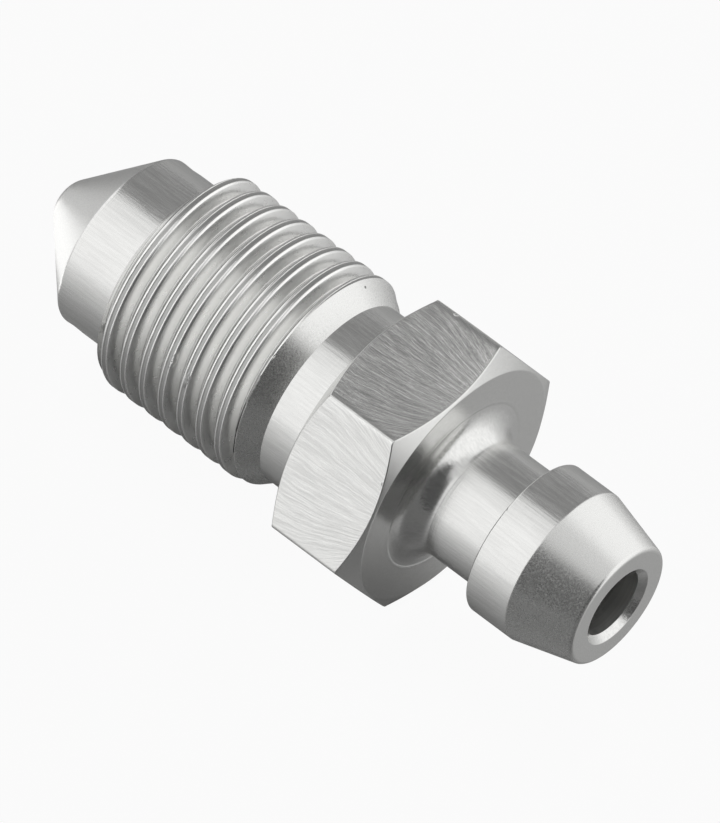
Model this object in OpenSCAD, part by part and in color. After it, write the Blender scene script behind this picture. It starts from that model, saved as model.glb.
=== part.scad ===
// Bleeder screw, turned in one piece: seat cone, pilot, thread blank, relief neck,
// hexagon, hose neck and barb, with a blind passage that a cross hole opens at the pilot.
// Millimetres. It lies as it comes to rest: the rear edge of the lowest hexagon flat and the
// front of the thread touch the ground, with the nose at -X and the hose end at +X.

/* [Seat and nose] */
// Full angle of the seat cone
seat_angle = 90; // [70:5:100]
// Diameter of the flat at the very tip
tip_d = 0.3; // [0.2:0.1:1]
// Rounding between the tip and the seat cone
nose_r = 1.3; // [0.6:0.1:1.6]
// Rounding between the seat cone and the pilot
shoulder_r = 0.2; // [0.1:0.05:0.4]

/* [Pilot] */
// Diameter of the pilot
pilot_d = 7.77; // [7.3:0.01:8.4]
// Length of the pilot, from its sharp front corner to the thread
pilot_l = 2.34; // [2:0.02:5]

/* [Thread] */
// Outside diameter of the thread
thread_d = 9.76; // [9:0.02:10.2]
// Length of the thread, from the pilot to the run-out
thread_l = 7.62; // [5:0.02:14]
// Slope of the lead-in chamfer, from the axis
lead_angle = 60; // [30:5:70]

/* [Relief neck] */
// Diameter of the relief neck
neck_d = 8.32; // [7.4:0.02:8.6]
// Length of the relief neck, from the run-out cone to the hexagon
neck_l = 1.95; // [1:0.05:5]
// Slope of the run-out cone, from the axis
runout_angle = 35; // [20:5:60]

/* [Hexagon] */
// Width across the flats
hex_af = 11; // [10.6:0.1:13]
// Length of the hexagon
hex_l = 4.48; // [3:0.02:8]
// How much less than the width across the flats both end faces measure
face_inset = 0.24; // [0.1:0.02:1]
// Slope of the front chamfer, from the face
front_chamfer_angle = 30; // [15:1:40]
// Slope of the rear chamfer, from the face
rear_chamfer_angle = 33; // [15:1:40]

/* [Hose end] */
// Diameter of the hose neck
hose_neck_d = 5.4; // [4.8:0.1:6]
// Length of the hose neck, from the hexagon to the barb
hose_neck_l = 3.74; // [2.5:0.02:8]
// Fillet between the hexagon and the hose neck
fillet_r = 1.1; // [0.4:0.1:1.6]
// Diameter of the barb
barb_d = 6.95; // [6.4:0.05:8]
// Length of the straight part of the barb
barb_l = 2.05; // [0.8:0.05:4]
// Length of the barb's cone
barb_cone_l = 2.81; // [2:0.01:3.4]
// Slope of the barb's cone, from the axis
barb_angle = 15; // [8:1:17]
// Rounding of the barb's rear edge
barb_edge_r = 0.08; // [0.04:0.02:0.2]
// Rounding of the rim at the mouth
rim_r = 0.2; // [0.05:0.05:0.3]

/* [Passage] */
// Diameter of the blind passage
bore_d = 3; // [2:0.1:3.4]
// Diameter of the countersink at the mouth
countersink_d = 3.55; // [3.45:0.05:3.8]
// Diameter of the cross hole
cross_d = 0.9; // [0.6:0.1:1.4]
// Wall between the cross hole and the pilot's front corner
cross_wall = 0.1; // [0.1:0.1:0.6]
// Reach of the passage's straight wall past the cross hole
bottom_wall = 0.1; // [0.05:0.05:0.4]
// Full angle of the drill's point
drill_angle = 118; // [90:2:140]

/* [Hidden] */
STEEL = "silver";
ROUND = 96;
// Overlap of a cutter past the skin it cuts
OVER = 0.5;
HEX_SIDES = 6;
HEX_STEP = 360 / HEX_SIDES;

// Places along the axis, from the nose
seat_half = seat_angle / 2;
nose_corner_r = tip_d / 2 + nose_r * tan(45 - seat_half / 2);
pilot_start = (pilot_d / 2 - nose_corner_r) / tan(seat_half);
thread_start = pilot_start + pilot_l;
lead_l = (thread_d - pilot_d) / 2 / tan(lead_angle);
thread_end = thread_start + thread_l;
neck_start = thread_end + (thread_d - neck_d) / 2 / tan(runout_angle);
hex_start = neck_start + neck_l;
hex_end = hex_start + hex_l;
barb_start = hex_end + hose_neck_l;
cone_start = barb_start + barb_l;
total_l = cone_start + barb_cone_l;
mouth_d = barb_d - 2 * barb_cone_l * tan(barb_angle);
cross_at = pilot_start + cross_wall + cross_d / 2;
bore_bottom = cross_at - cross_d / 2 - bottom_wall;

// Chamfers of the hexagon, down to the corner and to the middle of a flat
face_d = hex_af - face_inset;
corner_r = hex_af / 2 / cos(HEX_STEP / 2);
front_corner_drop = (corner_r - face_d / 2) * tan(front_chamfer_angle);
rear_corner_drop = (corner_r - face_d / 2) * tan(rear_chamfer_angle);
rear_flat_drop = face_inset / 2 * tan(rear_chamfer_angle);

// Attitude at rest, on the flat's rear edge and the front of the full thread
heel_at = hex_start + rear_flat_drop;
toe_at = thread_start + lead_l;
rest_tilt = atan((hex_af - thread_d) / 2 / (heel_at - toe_at));
nose_x = nose_r * cos(rest_tilt) - tip_d / 2 * sin(rest_tilt) - nose_r;
rim_centre_r = mouth_d / 2 - rim_r * tan(45 - barb_angle / 2);
rim_x = (total_l - rim_r) * cos(rest_tilt) + rim_centre_r * sin(rest_tilt) + rim_r;
middle_x = (nose_x + rim_x) / 2;
rest_height = hex_af / 2 * cos(rest_tilt) - heel_at * sin(rest_tilt);

// Point and turn that a corner's arc needs: the corner, then the slopes on its two sides
function along(p, angle, l) = [p[0] + l * cos(angle), p[1] + l * sin(angle)];
function tangent_l(r, from, to) = r * tan(abs(to - from) / 2);
function arc_centre(p, r, from, to) =
    along(along(p, from, -tangent_l(r, from, to)), from + 90, r);

// Solid disc that rounds a corner of a half section whose outline turns left there
module corner_disc(p, r, from, to) {
    translate(arc_centre(p, r, from, to)) circle(r = r, $fn = ROUND);
}

// Corners of the outline, each with the directions in which the outline meets and leaves it
SEAT_DIR = 90 - seat_half;
nose_p = [nose_corner_r, 0];
shoulder_p = [pilot_d / 2, pilot_start];
barb_p = [barb_d / 2, barb_start];
rim_p = [mouth_d / 2, total_l];
RIM_DIR = 90 + barb_angle;

// Half section of the nose, seat cone, pilot, thread blank and relief neck
module shank_section() {
    nose_t = tangent_l(nose_r, 0, SEAT_DIR);
    shoulder_t = tangent_l(shoulder_r, SEAT_DIR, 90);
    polygon([
        [0, 0],
        along(nose_p, 0, -nose_t),
        along(nose_p, SEAT_DIR, nose_t),
        along(shoulder_p, SEAT_DIR, -shoulder_t),
        along(shoulder_p, 90, shoulder_t),
        [pilot_d / 2, thread_start],
        [thread_d / 2, thread_start + lead_l],
        [thread_d / 2, thread_end],
        [neck_d / 2, neck_start],
        [neck_d / 2, hex_start + hex_l / 2],
        [0, hex_start + hex_l / 2]
    ]);
    intersection() {
        corner_disc(nose_p, nose_r, 0, SEAT_DIR);
        square([pilot_d, pilot_start]);
    }
    corner_disc(shoulder_p, shoulder_r, SEAT_DIR, 90);
}

// Half section of the hose neck and the barb
module hose_section() {
    edge_t = tangent_l(barb_edge_r, 0, 90);
    rim_t = tangent_l(rim_r, RIM_DIR, 180);
    polygon([
        [0, hex_end - hex_l / 2],
        [hose_neck_d / 2, hex_end - hex_l / 2],
        [hose_neck_d / 2, barb_start],
        along(barb_p, 0, -edge_t),
        along(barb_p, 90, edge_t),
        [barb_d / 2, cone_start],
        along(rim_p, RIM_DIR, -rim_t),
        along(rim_p, 180, rim_t),
        [0, total_l]
    ]);
    corner_disc(barb_p, barb_edge_r, 0, 90);
    corner_disc(rim_p, rim_r, RIM_DIR, 180);
    difference() {
        translate([hose_neck_d / 2, hex_end]) square(fillet_r);
        translate([hose_neck_d / 2 + fillet_r, hex_end + fillet_r]) circle(r = fillet_r, $fn = ROUND);
    }
}

// Hexagon between two flats that face sideways, with its corners chamfered at both ends
module hexagon() {
    intersection() {
        translate([0, 0, hex_start])
            linear_extrude(height = hex_l)
                rotate(HEX_STEP / 2)
                    circle(r = corner_r, $fn = HEX_SIDES);
        rotate_extrude($fn = ROUND)
            polygon([
                [0, hex_start],
                [face_d / 2, hex_start],
                [corner_r, hex_start + rear_corner_drop],
                [corner_r, hex_end - front_corner_drop],
                [face_d / 2, hex_end],
                [0, hex_end]
            ]);
    }
}

// Blind passage from the mouth, with its drill point, countersink and cross hole
module passage() {
    point_l = bore_d / 2 / tan(drill_angle / 2);
    sink_l = (countersink_d - bore_d) / 2;
    translate([0, 0, bore_bottom])
        cylinder(d = bore_d, h = total_l - bore_bottom + OVER, $fn = ROUND);
    translate([0, 0, bore_bottom - point_l])
        cylinder(d1 = 0, d2 = bore_d, h = point_l, $fn = ROUND);
    translate([0, 0, total_l - sink_l])
        cylinder(d1 = bore_d, d2 = countersink_d, h = sink_l, $fn = ROUND);
    rotate(2 * HEX_STEP)
        translate([0, 0, cross_at])
            rotate([0, 90, 0])
                cylinder(d = cross_d, h = pilot_d + 2 * OVER, center = true, $fn = ROUND);
}

// The whole screw, its nose at the origin and its axis along +Z
module turned_screw() {
    difference() {
        union() {
            rotate_extrude($fn = ROUND) shank_section();
            hexagon();
            rotate_extrude($fn = ROUND) hose_section();
        }
        passage();
    }
}

// The screw at rest on the ground, centred over the origin
module bleeder_screw() {
    color(STEEL)
        translate([-middle_x, 0, rest_height])
            rotate([0, 90 - rest_tilt, 0])
                turned_screw();
}

bleeder_screw();
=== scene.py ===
"""Bleeder screw of stainless steel, turned from a bar, with a cut thread and a milled hexagon.

The screw is modelled in millimetres along its own axis: x runs from the nose to the hose end,
and +z points out of the flat that faces up. At the end it is laid on the ground as it comes to
rest.
"""
from math import atan, atan2, ceil, cos, hypot, pi, radians, sin, tan

import bpy
from mathutils import Matrix, Vector


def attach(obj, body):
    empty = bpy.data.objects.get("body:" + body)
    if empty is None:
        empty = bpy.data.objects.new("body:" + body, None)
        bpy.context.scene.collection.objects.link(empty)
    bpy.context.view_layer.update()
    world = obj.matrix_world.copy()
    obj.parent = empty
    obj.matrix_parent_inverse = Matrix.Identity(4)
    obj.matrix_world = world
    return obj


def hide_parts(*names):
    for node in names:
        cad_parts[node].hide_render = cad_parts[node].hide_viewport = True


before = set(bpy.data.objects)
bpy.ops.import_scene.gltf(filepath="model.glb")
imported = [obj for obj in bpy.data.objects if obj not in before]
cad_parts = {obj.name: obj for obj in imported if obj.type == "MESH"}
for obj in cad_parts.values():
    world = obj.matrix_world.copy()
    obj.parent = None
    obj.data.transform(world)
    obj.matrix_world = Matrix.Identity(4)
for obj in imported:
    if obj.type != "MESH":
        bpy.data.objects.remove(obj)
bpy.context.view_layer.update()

# A millimetre, in metres
MM = 0.001

# Sizes in millimetres and degrees, as in the part's source
SEAT_ANGLE = 90
TIP_D = 0.3
NOSE_R = 1.3
SHOULDER_R = 0.2
PILOT_D = 7.77
PILOT_L = 2.34
THREAD_D = 9.76
THREAD_L = 7.62
LEAD_ANGLE = 60
NECK_D = 8.32
NECK_L = 1.95
RUNOUT_ANGLE = 35
HEX_AF = 11
HEX_L = 4.48
FACE_INSET = 0.24
FRONT_CHAMFER_ANGLE = 30
REAR_CHAMFER_ANGLE = 33
HOSE_NECK_D = 5.4
HOSE_NECK_L = 3.74
FILLET_R = 1.1
BARB_D = 6.95
BARB_L = 2.05
BARB_CONE_L = 2.81
BARB_ANGLE = 15
BARB_EDGE_R = 0.08
RIM_R = 0.2
BORE_D = 3
COUNTERSINK_D = 3.55
CROSS_D = 0.9
CROSS_WALL = 0.1
BOTTOM_WALL = 0.1
DRILL_ANGLE = 118

# Thread: a 60 degree groove with a rounded root, and a crest with rounded edges and a dull middle
PITCH = 1.0
CREST_L = 0.25
CREST_DULL_L = 0.17
CREST_EDGE_R = 0.11
ROOT_R = 0.05
FLANK_ANGLE = 30
# Where the crest, if it went on to the nose, would cross the line over the upper flat's middle
CREST_AT = 0.3205
# How much further the last crest reaches than the solid's blank, and the bevel of its edge
LAST_CREST_L = 0.12
LAST_CREST_BEVEL = 0.1
# How far the tool lifts at the thread's end, and over what part of a turn
TOOL_LIFT = 0.6
TOOL_LIFT_TURNS = 0.4
# How far the tool's shoulders lie below the crest, so that no two faces coincide
SKIN = 0.003

# Small forms that only the visual model has: roundings, bevels and the ring round the fillet
EDGE_R = 0.04
BARB_FRONT_R = 0.3
HEX_EDGE_BEVEL = 0.033
HEX_CORNER_BEVEL = 0.1
RIDGE_H = 0.014
RIDGE_W = 0.2
# The fillet is a little smaller than its corner, so that its arc ends short of the next corner
FILLET_FIT = 0.995

# Marks of the mill on the flats: off their middle, how far they close at the front, how deep they
# are on the upper flat and on the others, and where they fade out beside the middle
MILL_SHIFT = 0.5
MILL_CLOSING = 0.42
MILL_DEPTH = 0.03
SIDE_MILL_DEPTH = 0.009
MILL_FADE = (2.8, 3.1)

# Steps of the mesh, how far the tools reach past the skin, and distances that count as none
SIDES = 192
DRILL_SIDES = 48
HEX_SIDES = 6
OVER = 0.4
NEAR = 1e-3
SAME = 1e-4
# Reach along the axis that the hexagon's corner edges exceed, and that its rings' edges stay under
CORNER_EDGE_L = 1
RING_EDGE_L = 0.1
# Edges stay sharp above this angle
SMOOTH_ANGLE = 28

# Places along the axis, from the nose
seat_half = radians(SEAT_ANGLE / 2)
nose_corner_r = TIP_D / 2 + NOSE_R * tan((pi / 2 - seat_half) / 2)
pilot_start = (PILOT_D / 2 - nose_corner_r) / tan(seat_half)
thread_start = pilot_start + PILOT_L
lead_l = (THREAD_D - PILOT_D) / 2 / tan(radians(LEAD_ANGLE))
thread_end = thread_start + THREAD_L
neck_start = thread_end + (THREAD_D - NECK_D) / 2 / tan(radians(RUNOUT_ANGLE))
hex_start = neck_start + NECK_L
hex_end = hex_start + HEX_L
barb_start = hex_end + HOSE_NECK_L
cone_start = barb_start + BARB_L
total_l = cone_start + BARB_CONE_L
mouth_r = BARB_D / 2 - BARB_CONE_L * tan(radians(BARB_ANGLE))
cross_at = pilot_start + CROSS_WALL + CROSS_D / 2
bore_bottom = cross_at - CROSS_D / 2 - BOTTOM_WALL
drill_tip = bore_bottom - BORE_D / 2 / tan(radians(DRILL_ANGLE / 2))
sink_start = total_l - (COUNTERSINK_D - BORE_D) / 2

# Hexagon
hex_r = HEX_AF / 2
corner_r = hex_r / cos(pi / HEX_SIDES)
face_r = hex_r - FACE_INSET / 2
front_slope = tan(radians(FRONT_CHAMFER_ANGLE))
rear_slope = tan(radians(REAR_CHAMFER_ANGLE))

# How the screw lies: on the rear edge of its lowest flat and on the front of the full thread
heel_at = hex_start + FACE_INSET / 2 * rear_slope
toe_at = thread_start + lead_l
rest_tilt = atan((HEX_AF - THREAD_D) / 2 / (heel_at - toe_at))
rest_height = hex_r * cos(rest_tilt) - heel_at * sin(rest_tilt)
nose_x = NOSE_R * cos(rest_tilt) - TIP_D / 2 * sin(rest_tilt) - NOSE_R
rim_centre_r = mouth_r - RIM_R * tan(radians(45 - BARB_ANGLE / 2))
rim_x = (total_l - RIM_R) * cos(rest_tilt) + rim_centre_r * sin(rest_tilt) + RIM_R
middle_x = (nose_x + rim_x) / 2

# Camera, fitted to the outline in the photograph. It looks from the hose end's side, from above
# and from far away.
CAMERA_AZIMUTH = -54.2682
CAMERA_ELEVATION = 56.0332
CAMERA_ROLL = 7.5448
CAMERA_DISTANCE = 747.115
CAMERA_AIM = (1.5774, -0.7958, 7.2003)
CAMERA_LENS = 954.678
CAMERA_SENSOR = 36


class Wire:
    """A shader socket in a sum: an operator on it adds the Math node that works it out."""

    def __init__(self, board, socket):
        self.board = board
        self.socket = socket

    def __add__(self, other):
        return self.board.sum_of("ADD", self, other)

    def __radd__(self, other):
        return self.board.sum_of("ADD", other, self)

    def __sub__(self, other):
        return self.board.sum_of("SUBTRACT", self, other)

    def __rsub__(self, other):
        return self.board.sum_of("SUBTRACT", other, self)

    def __mul__(self, other):
        return self.board.sum_of("MULTIPLY", self, other)

    def __rmul__(self, other):
        return self.board.sum_of("MULTIPLY", other, self)

    def __truediv__(self, other):
        return self.board.sum_of("DIVIDE", self, other)

    def __pow__(self, other):
        return self.board.sum_of("POWER", self, other)


class Board:
    """The nodes of one material, or of the world."""

    def __init__(self, owner):
        owner.use_nodes = True
        self.tree = owner.node_tree
        self.tree.nodes.clear()

    def add(self, kind, settings, inputs, output=0):
        """Adds a node with its settings and its inputs, each a number, a colour or a wire."""
        node = self.tree.nodes.new("ShaderNode" + kind)
        for name, value in settings.items():
            setattr(node, name, value)
        for name, value in inputs.items():
            if isinstance(value, Wire):
                self.tree.links.new(value.socket, node.inputs[name])
            else:
                node.inputs[name].default_value = value
        return Wire(self, node.outputs[output]) if node.outputs else None

    def split(self, vector):
        """The three parts of a vector."""
        return [self.add("SeparateXYZ", {}, {0: vector}, output=axis) for axis in "XYZ"]

    def vector(self, x, y, z):
        return self.add("CombineXYZ", {}, {"X": x, "Y": y, "Z": z})

    def noise(self, place, scale, detail=2.0, roughness=0.5):
        return self.add("TexNoise", {}, {
            "Vector": place, "Scale": scale, "Detail": detail, "Roughness": roughness})

    def between(self, value, low, high, to_low=0.0, to_high=1.0):
        """A smooth rise from to_low to to_high, as the value goes from low to high."""
        return self.add("MapRange", {"interpolation_type": "SMOOTHSTEP"}, {
            "Value": value,
            "From Min": low, "From Max": high,
            "To Min": to_low, "To Max": to_high})

    def blend(self, amount, first, second):
        """A colour between two colours."""
        return self.add("Mix", {"data_type": "RGBA"}, {0: amount, 6: first, 7: second}, output=2)

    def bump(self, relief):
        """Normals of a relief whose height is in millimetres."""
        return self.add("Bump", {}, {"Height": relief, "Distance": MM})

    def sum_of(self, operation, first, second=0.0):
        """The result of a Math node. Some operations take the first value alone."""
        return self.add("Math", {"operation": operation}, {0: first, 1: second})

    def absolute(self, value):
        return self.sum_of("ABSOLUTE", value)


class Steel(Board):
    """A finish of the steel, with the screw's own coordinates in millimetres.

    turned is the angle round the axis, from the flat that faces up.
    """

    def __init__(self, name):
        self.material = bpy.data.materials.new(name)
        super().__init__(self.material)
        place = self.add("TexCoord", {}, {}, output="Object")
        self.place = self.add("Mapping", {"vector_type": "TEXTURE"}, {
            "Vector": place,
            "Location": (-middle_x * MM, 0, rest_height * MM),
            "Rotation": (0, -rest_tilt, 0),
            "Scale": (MM, MM, MM)})
        self.x, self.y, self.z = self.split(self.place)
        self.radius = (self.y * self.y + self.z * self.z) ** 0.5
        self.turned = self.sum_of("ARCTAN2", 0 - self.y, self.z)

    def stretched(self, along, around):
        """Coordinates in which a pattern is drawn out along the axis and across it."""
        return self.vector(self.x / along, self.y / around, self.z / around)

    def bruise(self, x, turn, half_x, half_turn):
        """1 at a small bruise, x along the axis and so many degrees round it, and 0 beside it."""
        off_x = (self.x - x) / half_x
        off_turn = (self.turned - radians(turn)) / radians(half_turn)
        return self.between((off_x * off_x + off_turn * off_turn) ** 0.5, 0.6, 1, 1, 0)

    def dents(self, bruises):
        """Relief of a few bruises, which are rough."""
        grain = self.noise(self.place, 9, 2)
        return sum(self.bruise(*place) for place in bruises) * grain * BRUISE_DEPTH

    def past_crest(self):
        """Distance along the axis past the middle of the nearest crest of the thread."""
        turns = (self.x - CREST_AT) / PITCH + 0.5 - self.turned / (2 * pi)
        return (self.sum_of("FRACT", turns) - 0.5) * PITCH

    def finish(self, shade, roughness, relief):
        """Joins shade, roughness and relief to the output, and gives the material back."""
        shader = self.add("BsdfPrincipled", {}, {
            "Base Color": self.blend(shade, (0, 0, 0, 1), STEEL_COLOUR),
            "Metallic": 1.0,
            "Roughness": roughness,
            "Normal": self.bump(relief)})
        self.add("OutputMaterial", {}, {"Surface": shader})
        return self.material


STEEL_COLOUR = (0.84, 0.84, 0.825, 1)

# Bruises that the screw has got in use: along the axis, turn in degrees, and half their sizes
THREAD_BRUISES = [(9.62, 62, 0.14, 6), (10.52, 66, 0.11, 5), (6.0, 76, 0.16, 4)]
HEXAGON_BRUISES = [(20.46, 45.5, 0.16, 1.2), (20.6, 73.5, 0.14, 1.2), (17.74, -30, 0.12, 1.2)]
CONE_SPECK = (13.52, -33.7, 0.06, 0.9)
BARB_BURR = (24.38, 21, 0.06, 1.4)
BRUISE_DEPTH = 0.05


def drawn_steel():
    """Polished cylinders, with faint streaks along the axis and turning marks round it."""
    steel = Steel("drawn_steel")
    streaks = steel.noise(steel.stretched(14, 1), 9, 4, 0.65)
    marks = steel.noise(steel.stretched(0.03, 6), 1, 2)
    shade = steel.between(streaks, 0.3, 0.7, 0.76, 0.86)
    roughness = steel.between(streaks, 0.3, 0.7, 0.18, 0.24)
    relief = (streaks + marks * 0.4) * 0.0055 + steel.bruise(*BARB_BURR) * BRUISE_DEPTH
    return steel.finish(shade, roughness, relief)


def matte_steel():
    """The seat cone, turned with a fine feed and left matte."""
    steel = Steel("matte_steel")
    grain = steel.noise(steel.place, 14, 3, 0.7)
    marks = steel.noise(steel.stretched(0.03, 4), 1, 2)
    shade = steel.between(grain, 0.3, 0.7, 0.74, 0.86)
    roughness = steel.between(grain, 0.3, 0.7, 0.28, 0.36)
    return steel.finish(shade, roughness, (grain + marks * 0.6) * 0.004)


def coarse_steel():
    """Cones cut with a broad tool, which leaves a speckled grain."""
    steel = Steel("coarse_steel")
    grain = steel.noise(steel.place, 14, 3, 0.7)
    speck = steel.bruise(*CONE_SPECK)
    shade = steel.between(grain, 0.38, 0.62, 0.83, 0.88) - speck * 0.6
    roughness = steel.between(grain, 0.46, 0.68, 0.27, 0.4)
    return steel.finish(shade, roughness, grain * 0.002)


def milled_steel():
    """Flats of the hexagon, with the mill's marks, which draw together towards the hose end."""
    steel = Steel("milled_steel")
    step = 2 * pi / HEX_SIDES
    turn = steel.turned / step
    side = steel.sum_of("ROUND", turn)
    across = steel.radius * steel.sum_of("SINE", (turn - side) * step)
    along = (steel.x - hex_start) / HEX_L
    wander = steel.noise(steel.vector(across * 0.6, along * 2, side * 7), 1, 2)
    track = (across + MILL_SHIFT) / (1 - along * along * MILL_CLOSING) + wander * 0.5
    marks = steel.noise(steel.vector(track * 6.5, along * 2, side * 5), 1, 5, 0.66)
    fine = steel.noise(steel.vector(track * 20, along * 5, side * 3), 1, 2)
    upper_flat_deep_and_shaded = steel.between(steel.absolute(side), 0.2, 0.8, 1, 0)
    # Painted shade: the upper flat is made 0.14 darker than the other flats; its marks are also
    # cut deeper.
    shade = steel.between(marks, 0.4, 0.62, 0.82, 0.94) - upper_flat_deep_and_shaded * 0.14
    depth = SIDE_MILL_DEPTH + upper_flat_deep_and_shaded * (MILL_DEPTH - SIDE_MILL_DEPTH)
    faded = steel.between(steel.absolute(across), *MILL_FADE, 1, 0)
    relief = (marks + fine * 0.25 - 0.6) * depth * faded
    roughness = steel.between(fine, 0.3, 0.7, 0.2, 0.26)
    return steel.finish(shade, roughness, relief + steel.dents(HEXAGON_BRUISES))


def faced_steel():
    """End faces and chamfers, with fine rings from the turning tool."""
    steel = Steel("faced_steel")
    rings = steel.noise(steel.vector(steel.radius * 14, steel.x * 14, 0), 1, 2)
    grain = steel.noise(steel.place, 14, 3)
    shade = steel.between(grain, 0.3, 0.7, 0.8, 0.86)
    return steel.finish(shade, steel.between(grain, 0.3, 0.7, 0.2, 0.26), rings * 0.002)


def thread_steel():
    """Flanks of the thread, smoothed by the die, with painted shade in a strip on each crest's
    nose side.
    """
    steel = Steel("thread_steel")
    grain = steel.noise(steel.stretched(1, 5), 9, 3)
    past = steel.past_crest()
    # Painted shade: a dark strip on the flank beside each crest's nose side, standing in for the
    # dark reflection between the groove's walls.
    painted_shade_strip = steel.between(past, -0.33, -0.26) * steel.between(past, -0.21, -0.16, 1, 0)
    shade = steel.between(grain, 0.3, 0.7, 0.96, 1.0) - painted_shade_strip * 0.7
    roughness = steel.between(grain, 0.3, 0.7, 0.27, 0.32)
    return steel.finish(shade, roughness, steel.dents(THREAD_BRUISES))


def crest_steel():
    """Crest of the thread: a dull band between two bright lips."""
    steel = Steel("crest_steel")
    grain = steel.noise(steel.stretched(0.1, 1), 4, 3)
    edge = CREST_DULL_L / 2 + (grain - 0.5) * 0.04
    lip = steel.between(steel.absolute(steel.past_crest()) - edge, -0.03, 0.02)
    relief = lip * 0.018 + steel.dents(THREAD_BRUISES)
    return steel.finish(0.5 + lip * 0.42, 0.38 - lip * 0.2, relief)


def bore_steel():
    """Drilled walls, with rings round the axis."""
    steel = Steel("bore_steel")
    rings = steel.noise(steel.stretched(0.1, 8), 1, 2)
    return steel.finish(steel.between(rings, 0.3, 0.7, 0.8, 0.9), 0.38, rings * 0.008)


def add_modifier(piece, kind, **settings):
    """Adds a modifier to the piece and applies it."""
    modifier = piece.modifiers.new(kind.lower(), kind)
    for name, value in settings.items():
        setattr(modifier, name, value)
    bpy.context.view_layer.objects.active = piece
    bpy.ops.object.modifier_apply(modifier=modifier.name)


def edit(piece):
    """Opens the piece for editing, with nothing selected."""
    bpy.ops.object.select_all(action="DESELECT")
    piece.select_set(True)
    bpy.context.view_layer.objects.active = piece
    bpy.ops.object.mode_set(mode="EDIT")
    bpy.ops.mesh.select_mode(type="VERT")
    bpy.ops.mesh.select_all(action="DESELECT")


def leave_edit():
    bpy.ops.object.mode_set(mode="OBJECT")


def clear_selection(piece):
    """Makes the piece the active one, with nothing in its mesh selected."""
    edit(piece)
    leave_edit()


def bevel_edges(offset, segments, **settings):
    """Bevels the edges that are selected in the active piece."""
    bpy.ops.object.mode_set(mode="EDIT")
    bpy.ops.mesh.select_mode(type="EDGE")
    bpy.ops.mesh.bevel(offset=offset, affect="EDGES", segments=segments, **settings)
    leave_edit()


def close_mesh():
    """Merges the doubles of the piece in edit mode and turns its faces outwards."""
    bpy.ops.mesh.select_all(action="SELECT")
    bpy.ops.mesh.remove_doubles(threshold=SAME)
    bpy.ops.mesh.normals_make_consistent(inside=False)


def draw_outline(name, points):
    """A new piece that is an open line in the xz plane, extruded from point to point."""
    bpy.ops.object.select_all(action="DESELECT")
    bpy.ops.mesh.primitive_plane_add(size=1, location=(points[0][0], 0, points[0][1]))
    piece = bpy.context.object
    piece.name = name
    bpy.ops.object.transform_apply()
    bpy.ops.object.mode_set(mode="EDIT")
    bpy.ops.mesh.select_mode(type="VERT")
    bpy.ops.mesh.select_all(action="SELECT")
    bpy.ops.mesh.merge(type="CENTER")
    for (x, r), (next_x, next_r) in zip(points, points[1:]):
        step = (next_x - x, 0, next_r - r)
        bpy.ops.mesh.extrude_region_move(TRANSFORM_OT_translate={"value": step})
    leave_edit()
    return piece


def round_corner(piece, x, r, radius, turn, segments):
    """Rounds the outline's corner at (x, r), where it turns by that many degrees."""
    clear_selection(piece)
    for vertex in piece.data.vertices:
        vertex.select = hypot(vertex.co.x - x, vertex.co.z - r) < SAME
    bpy.ops.object.mode_set(mode="EDIT")
    tangent_l = radius * tan(radians(turn) / 2)
    bpy.ops.mesh.bevel(offset=tangent_l, affect="VERTICES", segments=segments)
    leave_edit()


def turned_outline():
    """Half section of the blank.

    Each corner has its x and radius, and a rounded one its rounding, turn in degrees and segments.
    """
    blank_r = THREAD_D / 2
    return [
        (0, 0),
        (0, nose_corner_r, NOSE_R, 90 - SEAT_ANGLE / 2, 12),
        (pilot_start, PILOT_D / 2, SHOULDER_R, SEAT_ANGLE / 2, 5),
        (thread_start, PILOT_D / 2),
        (thread_start + lead_l, blank_r),
        (thread_end + LAST_CREST_L, blank_r),
        (neck_start, NECK_D / 2, EDGE_R, RUNOUT_ANGLE, 2),
        (hex_start, NECK_D / 2, EDGE_R, 90, 3),
        (hex_start, face_r),
        (hex_start + (corner_r - face_r) * rear_slope, corner_r),
        (hex_end - (corner_r - face_r) * front_slope, corner_r),
        (hex_end, face_r),
        (hex_end, HOSE_NECK_D / 2 + FILLET_R + RIDGE_W),
        (hex_end + RIDGE_H, HOSE_NECK_D / 2 + FILLET_R + RIDGE_W * 0.75),
        (hex_end + RIDGE_H, HOSE_NECK_D / 2 + FILLET_R + RIDGE_W * 0.25),
        (hex_end, HOSE_NECK_D / 2 + FILLET_R),
        (hex_end, HOSE_NECK_D / 2, FILLET_R * FILLET_FIT, 90, 14),
        (barb_start, HOSE_NECK_D / 2, EDGE_R, 90, 3),
        (barb_start, BARB_D / 2, BARB_EDGE_R, 90, 4),
        (cone_start, BARB_D / 2, BARB_FRONT_R, BARB_ANGLE, 3),
        (total_l, mouth_r, RIM_R, 90 - BARB_ANGLE, 6),
        (total_l, COUNTERSINK_D / 2, EDGE_R, 45, 2),
        (sink_start, BORE_D / 2, EDGE_R, 45, 2),
        (bore_bottom, BORE_D / 2),
        (drill_tip, 0),
    ]


def turn_blank():
    """The turned blank: its outline is drawn and rounded, and then spun round the axis."""
    corners = turned_outline()
    blank = draw_outline("bleeder_screw_steel", [corner[:2] for corner in corners])
    for corner in corners:
        if len(corner) > 2:
            round_corner(blank, *corner)
    edit(blank)
    bpy.ops.mesh.select_all(action="SELECT")
    bpy.ops.mesh.spin(steps=SIDES, angle=2 * pi, center=(0, 0, 0), axis=(1, 0, 0))
    close_mesh()
    leave_edit()
    return blank


def from_axis(place):
    """Distance of a place from the screw's axis."""
    return hypot(place.y, place.z)


def flat_angle(place):
    """The angle between a place and the middle of the hexagon's flat that it belongs to."""
    step = 2 * pi / HEX_SIDES
    return (atan2(-place.y, place.z) + step / 2) % step - step / 2


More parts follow.
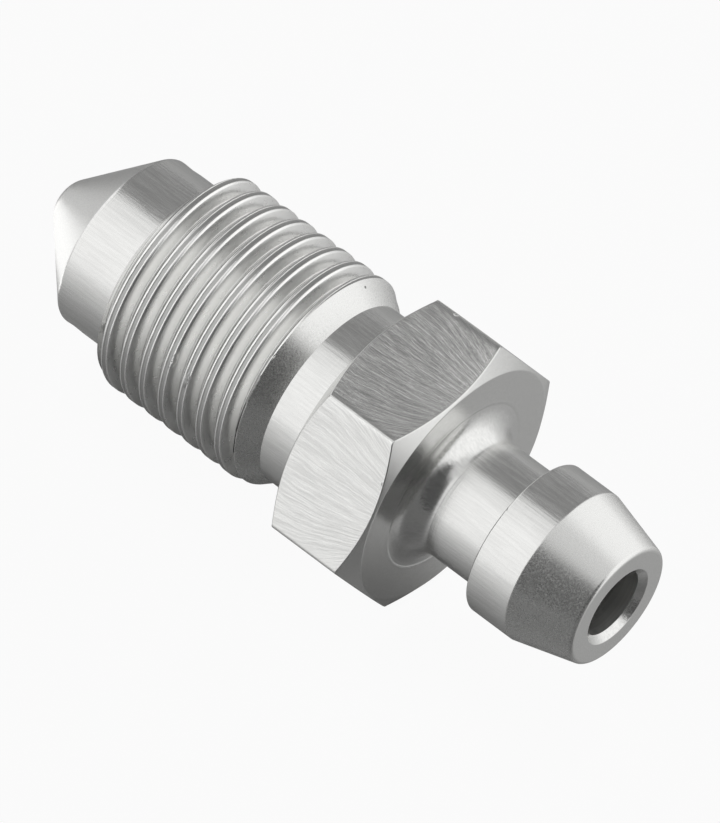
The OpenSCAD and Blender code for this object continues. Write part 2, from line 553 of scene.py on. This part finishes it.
def mill_hexagon(blank):
    """Brings the widest rings down to six flats, so that both chamfers end in true curves."""
    rear_x = hex_start + (corner_r - face_r) * rear_slope
    for vertex in blank.data.vertices:
        if from_axis(vertex.co) < corner_r - NEAR:
            continue
        reach = hex_r / cos(flat_angle(vertex.co))
        vertex.co.y *= reach / corner_r
        vertex.co.z *= reach / corner_r
        if abs(vertex.co.x - rear_x) < NEAR:
            vertex.co.x = hex_start + (reach - face_r) * rear_slope
        else:
            vertex.co.x = hex_end - (reach - face_r) * front_slope


def soften_edges(blank, offset, wanted):
    """Bevels the edges of the hexagon for which wanted, a test of their two ends, holds."""
    clear_selection(blank)
    places = [vertex.co for vertex in blank.data.vertices]
    for edge in blank.data.edges:
        a, b = (places[index] for index in edge.vertices)
        ahead = min(a.x, b.x) > hex_start - NEAR
        outside = min(from_axis(a), from_axis(b)) > face_r - NEAR
        edge.select = ahead and outside and wanted(a, b)
    bevel_edges(offset, 3)


def soften_hexagon(blank):
    """Bevels the six corners, and less so both curves and both face rings."""
    def is_corner(a, b):
        return abs(a.x - b.x) > CORNER_EDGE_L and from_axis(a) > corner_r - NEAR

    def is_ring(a, b):
        return abs(a.x - b.x) < RING_EDGE_L

    soften_edges(blank, HEX_CORNER_BEVEL, is_corner)
    soften_edges(blank, HEX_EDGE_BEVEL, is_ring)


def lift_tool(cutter, start, turns):
    """Lifts the end of the helical tool, so that the groove runs out at the thread's end."""
    for vertex in cutter.data.vertices:
        x, y, z = vertex.co
        part_turn = atan2(-y, z) / (2 * pi) % 1
        turn = round((x - start) / PITCH - part_turn) + part_turn
        lift = max(0, (turn - turns) / TOOL_LIFT_TURNS + 1) * TOOL_LIFT
        vertex.co.yz = Vector((y, z)) * (1 + lift / hypot(y, z))


def groove_cutter():
    """The helical tool that cuts the thread: a groove's section, screwed along the axis."""
    edge_turn = 90 - FLANK_ANGLE
    half_top = (PITCH - CREST_L) / 2
    half_flank = half_top - CREST_EDGE_R * tan(radians(edge_turn) / 2)
    skin = THREAD_D / 2 - SKIN
    depth = half_flank / tan(radians(FLANK_ANGLE))
    start = thread_start - 2 * PITCH
    start += (CREST_AT + PITCH / 2 - start) % PITCH
    turns = ceil((thread_end - start) / PITCH)
    points = [
        (-half_top, THREAD_D / 2 + OVER),
        (-half_top, skin),
        (-half_flank, skin),
        (0, skin - depth),
        (half_flank, skin),
        (half_top, skin),
        (half_top, THREAD_D / 2 + OVER),
    ]
    points = [(start + x, r) for x, r in points]
    cutter = draw_outline("groove_cutter", points)
    left, root, right = points[2:5]
    round_corner(cutter, *left, CREST_EDGE_R, edge_turn, 4)
    round_corner(cutter, *root, ROOT_R, 2 * edge_turn, 5)
    round_corner(cutter, *right, CREST_EDGE_R, edge_turn, 4)
    edit(cutter)
    bpy.ops.mesh.select_all(action="SELECT")
    bpy.ops.mesh.edge_face_add()
    leave_edit()
    add_modifier(
        cutter, "SCREW", axis="X", angle=2 * pi, screw_offset=PITCH, iterations=turns,
        steps=SIDES, render_steps=SIDES, use_merge_vertices=False)
    lift_tool(cutter, start, turns)
    edit(cutter)
    bpy.ops.mesh.select_all(action="SELECT")
    bpy.ops.mesh.fill_holes(sides=0)
    close_mesh()
    leave_edit()
    return cutter


def soften_last_crest(screw):
    """Bevels the edge between the last groove and the run-out cone."""
    finishes = {screw.data.materials.find(name) for name in ("thread_steel", "coarse_steel")}
    sides = {}
    for face in screw.data.polygons:
        for key in face.edge_keys:
            sides.setdefault(key, set()).add(face.material_index)
    clear_selection(screw)
    for edge in screw.data.edges:
        x = screw.data.vertices[edge.vertices[0]].co.x
        edge.select = sides[edge.key] == finishes and x > thread_end
    bevel_edges(LAST_CREST_BEVEL, 4, clamp_overlap=False)


def cross_drill():
    """The drill of the cross hole, which goes through the pilot from side to side."""
    bpy.ops.object.select_all(action="DESELECT")
    bpy.ops.mesh.primitive_cylinder_add(
        vertices=DRILL_SIDES, radius=CROSS_D / 2, depth=PILOT_D + 2 * OVER,
        location=(cross_at, 0, 0), rotation=(2 * pi / 3, 0, 0))
    drill = bpy.context.object
    bpy.ops.object.transform_apply()
    return drill


def cut(piece, tool, finish):
    """Takes the tool's shape out of the piece, and gives the cut faces their own finish."""
    tool.data.materials.append(finish)
    add_modifier(piece, "BOOLEAN", operation="DIFFERENCE", object=tool, solver="EXACT",
                 material_mode="TRANSFER")
    bpy.data.objects.remove(tool)


def finish_of(face):
    """The name of a face's finish, from its place and from how far it looks outward or ahead."""
    x, y, z = face.center
    r = hypot(y, z)
    outward = (face.normal.y * y + face.normal.z * z) / max(r, SAME)
    along = face.normal.x
    if outward < -0.2 and abs(along) < 0.5 or r < BORE_D / 2:
        return "bore" if x > drill_tip else "matte"
    if x < pilot_start:
        return "matte"
    if x < thread_start:
        return "drawn"
    if x < thread_end + LAST_CREST_L and r > THREAD_D / 2 - SKIN:
        return "crest"
    if x < hex_start - EDGE_R:
        return "coarse" if along > 0.3 or x < toe_at else "drawn"
    if x < hex_end + RIDGE_H:
        return "milled" if abs(along) < 0.1 and r > face_r else "faced"
    if x < cone_start:
        return "drawn"
    if r < COUNTERSINK_D / 2 + EDGE_R:
        return "drawn"
    return "faced" if along > 0.8 else "coarse"


def paint(screw, finishes):
    """Gives each face of the blank its finish. Faces that a tool cut keep the tool's."""
    names = list(finishes)
    for name in names:
        screw.data.materials.append(finishes[name])
    for face in screw.data.polygons:
        face.material_index = names.index(finish_of(face))


def make_screw():
    """The finished screw along the x axis: turned, milled, painted, threaded and cross-drilled."""
    finishes = {
        "drawn": drawn_steel(),
        "matte": matte_steel(),
        "coarse": coarse_steel(),
        "milled": milled_steel(),
        "faced": faced_steel(),
        "crest": crest_steel(),
        "bore": bore_steel(),
    }
    screw = turn_blank()
    mill_hexagon(screw)
    soften_hexagon(screw)
    paint(screw, finishes)
    cut(screw, groove_cutter(), thread_steel())
    soften_last_crest(screw)
    cut(screw, cross_drill(), finishes["bore"])
    edit(screw)
    close_mesh()
    leave_edit()
    bpy.ops.object.shade_smooth_by_angle(angle=radians(SMOOTH_ANGLE))
    add_modifier(screw, "WEIGHTED_NORMAL", keep_sharp=True)
    return screw


def lay_down(piece):
    """Brings the finished piece to metres and lays it on the ground, with its place applied."""
    lie = Matrix.Translation((-middle_x, 0, rest_height)) @ Matrix.Rotation(-rest_tilt, 4, "Y")
    piece.matrix_world = Matrix.Scale(MM, 4) @ lie
    bpy.ops.object.select_all(action="DESELECT")
    piece.select_set(True)
    bpy.context.view_layer.objects.active = piece
    bpy.ops.object.transform_apply()


# Studio light, as the metal mirrors it: brightness of each part of the surroundings
DARK_SIDE = 0.1
FAR_SIDE = 0.3
WHITE_SIDE = 1.25
OVERHEAD = 0.8

# Sectors of the horizon in degrees, each with its middle and its half width, and their soft edges
LEFT_SECTOR = (-152, 50)
RIGHT_SECTOR = (52.5, 53.5)
FAR_SECTOR = (133, 27)
SECTOR_EDGE = 6
# Elevations between which the sides pass over into the overhead light
OVERHEAD_EDGE = (58, 76)


def light_studio():
    """A light tent with a dark gap where the camera stands, and a grey side at the far left."""
    world = bpy.data.worlds.new("studio")
    bpy.context.scene.world = world
    studio = Board(world)
    direction = studio.add("TexCoord", {}, {}, output="Generated")
    x, y, z = studio.split(direction)
    azimuth = studio.sum_of("ARCTAN2", y, x)

    def side(middle, half_width):
        """1 within a sector of the horizon and 0 outside it."""
        nearness = studio.sum_of("COSINE", azimuth - radians(middle))
        outer = cos(radians(half_width + SECTOR_EDGE))
        inner = cos(radians(half_width - SECTOR_EDGE))
        return studio.between(nearness, outer, inner)

    level = (DARK_SIDE + side(*LEFT_SECTOR) * (WHITE_SIDE - DARK_SIDE)
             + side(*RIGHT_SECTOR) * (WHITE_SIDE - DARK_SIDE)
             + side(*FAR_SECTOR) * (FAR_SIDE - DARK_SIDE))
    low, high = (sin(radians(angle)) for angle in OVERHEAD_EDGE)
    overhead = studio.between(z, low, high)
    strength = level + overhead * (OVERHEAD - level)
    light = studio.add("Background", {}, {"Color": (1, 1, 1, 1), "Strength": strength})
    studio.add("OutputWorld", {}, {"Surface": light})


# The floor, in metres: its size, its satin, and how much of it looks plain white to the camera
FLOOR_SIZE = 4
FLOOR_COLOUR = (0.15, 0.15, 0.15, 1)
FLOOR_GLOSS = 0.16
FLOOR_GLOSS_COLOUR = (0.95, 0.95, 0.95, 1)
FLOOR_WHITE = 0.95
# How much of it looks white in the metal, from the place before the screw to the one behind it
FLOOR_IN_METAL = (0.04, 0.13)
FLOOR_IN_METAL_Y = (-0.005, 0.001)


def floor_paint():
    """A pale satin floor, which looks white and keeps the screw's faint shadow."""
    paint_of_floor = bpy.data.materials.new("pale_floor")
    floor = Board(paint_of_floor)
    dull = floor.add("BsdfDiffuse", {}, {"Color": FLOOR_COLOUR})
    gloss = floor.add("BsdfGlossy", {}, {"Color": FLOOR_GLOSS_COLOUR, "Roughness": 0.3})
    grazing = floor.add("LayerWeight", {}, {"Blend": 0.5}, output="Facing")
    satin = floor.add("MixShader", {}, {0: FLOOR_GLOSS + grazing ** 1.5 * 0.8, 1: dull, 2: gloss})
    white = floor.add("Emission", {}, {"Color": (1, 1, 1, 1), "Strength": 1.0})
    path = {kind: floor.add("LightPath", {}, {}, output="Is " + kind)
            for kind in ("Camera Ray", "Glossy Ray", "Transmission Ray")}
    place = floor.add("TexCoord", {}, {}, output="Object")
    in_metal = floor.between(floor.split(place)[1], *FLOOR_IN_METAL_Y, *FLOOR_IN_METAL)
    seen = (path["Camera Ray"] * FLOOR_WHITE
            + (path["Glossy Ray"] + path["Transmission Ray"]) * in_metal)
    surface = floor.add("MixShader", {}, {0: seen, 1: satin, 2: white})
    floor.add("OutputMaterial", {}, {"Surface": surface})
    return paint_of_floor


def lay_floor():
    """The floor, which is staging and no part of the screw."""
    bpy.ops.object.select_all(action="DESELECT")
    bpy.ops.mesh.primitive_plane_add(size=FLOOR_SIZE)
    floor = bpy.context.object
    floor.name = "floor"
    floor.data.materials.append(floor_paint())


# Low light at the nose, which whitens the seat cone's near side
NOSE_LIGHT_AT = (-20.8, -5.0, 0.3)
NOSE_LIGHT_SIZE = (10.5, 12)
NOSE_LIGHT = 1.0


def light_nose():
    """A softbox that lies on the ground before the nose and shines upwards."""
    width, depth = (side * MM for side in NOSE_LIGHT_SIZE)
    bpy.ops.object.light_add(
        type="AREA", location=Vector(NOSE_LIGHT_AT) * MM, rotation=(pi, 0, 0))
    lamp = bpy.context.object
    lamp.data.shape = "RECTANGLE"
    lamp.data.size = width
    lamp.data.size_y = depth
    lamp.data.energy = NOSE_LIGHT * pi * width * depth
    lamp.visible_camera = False


def place_camera():
    """The camera at the photograph's angle, turned about its view by the photograph's roll."""
    azimuth = radians(CAMERA_AZIMUTH)
    elevation = radians(CAMERA_ELEVATION)
    turn = (Matrix.Rotation(azimuth + pi / 2, 4, "Z") @ Matrix.Rotation(pi / 2 - elevation, 4, "X")
            @ Matrix.Rotation(radians(CAMERA_ROLL), 4, "Z"))
    back = turn @ Vector((0, 0, CAMERA_DISTANCE * MM))
    bpy.ops.object.camera_add()
    camera = bpy.context.object
    camera.matrix_world = Matrix.Translation(Vector(CAMERA_AIM) * MM + back) @ turn
    camera.data.lens = CAMERA_LENS
    camera.data.sensor_width = CAMERA_SENSOR
    camera.data.sensor_fit = "HORIZONTAL"
    camera.data.clip_start = 0.01
    camera.data.clip_end = 10
    bpy.context.scene.camera = camera


screw = make_screw()
lay_down(screw)
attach(screw, "root")
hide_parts("bleeder_screw")

lay_floor()
light_studio()
light_nose()
place_camera()
bpy.context.scene.view_settings.view_transform = "Standard"
